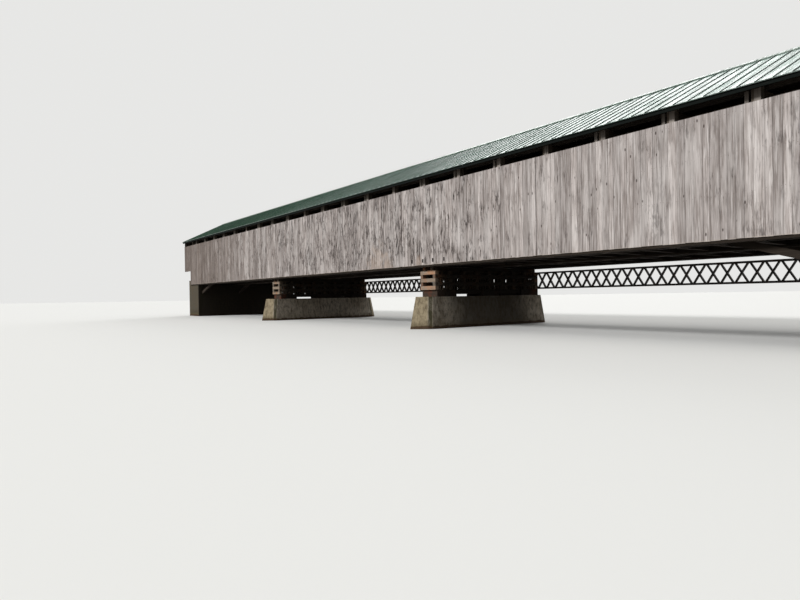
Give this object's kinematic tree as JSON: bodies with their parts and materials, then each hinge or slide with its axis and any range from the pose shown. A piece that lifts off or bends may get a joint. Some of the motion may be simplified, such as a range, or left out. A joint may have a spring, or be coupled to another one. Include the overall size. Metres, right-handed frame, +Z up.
{
  "type": "covered bridge, 1:2 scale model",
  "caption": "Long two-lane covered road bridge in three spans, with board sides, a green metal gable roof, timber cribs on pointed concrete piers and concrete abutments.",
  "frame": {"origin": "middle of the bridge on its centre line, at the level of the feet of piers and abutments", "axes": "+X along the bridge towards its east end, +Y across it towards the downstream side, +Z up"},
  "size_m": [29.48, 4.94, 4.8182],
  "materials": {
    "weathered_boards": "weathered grey boards",
    "frame_timber": "aged brown timber",
    "floor_planks": "worn planks",
    "crib_timber": "weathered square timbers",
    "concrete": "stained concrete",
    "roof_metal": "green painted ribbed sheet",
    "girder_steel": "dark painted steel"
  },
  "bodies": {
    "root": {"abutment_east": "concrete", "abutment_struts": "frame_timber", "abutment_west": "concrete", "backwalls": "concrete", "bottom_chord_downstream": "frame_timber", "bottom_chord_middle": "frame_timber", "bottom_chord_upstream": "frame_timber", "braces_downstream": "frame_timber", "braces_middle": "frame_timber", "braces_upstream": "frame_timber", "crib_bases": "crib_timber", "crib_blocks": "crib_timber", "crib_east": "crib_timber", "crib_west": "crib_timber", "deck_downstream": "floor_planks", "deck_upstream": "floor_planks", "floor_beams": "frame_timber", "floor_ledgers": "frame_timber", "gable_east": "weathered_boards", "gable_west": "weathered_boards", "knee_braces_downstream": "frame_timber", "knee_braces_middle": "frame_timber", "knee_braces_upstream": "frame_timber", "lattice_girder": "girder_steel", "nailers_downstream": "frame_timber", "nailers_upstream": "frame_timber", "pier_east": "concrete", "pier_west": "concrete", "portal_wings": "weathered_boards", "posts_downstream": "frame_timber", "posts_middle": "frame_timber", "posts_upstream": "frame_timber", "rafters_downstream": "frame_timber", "rafters_upstream": "frame_timber", "ridge_board": "frame_timber", "ridge_cap": "roof_metal", "roof_downstream": "roof_metal", "roof_upstream": "roof_metal", "siding_downstream": "weathered_boards", "siding_upstream": "weathered_boards", "tie_beams": "frame_timber", "top_chord_downstream": "frame_timber", "top_chord_middle": "frame_timber", "top_chord_upstream": "frame_timber", "wall_plates": "frame_timber"}
  },
  "joints": []
}
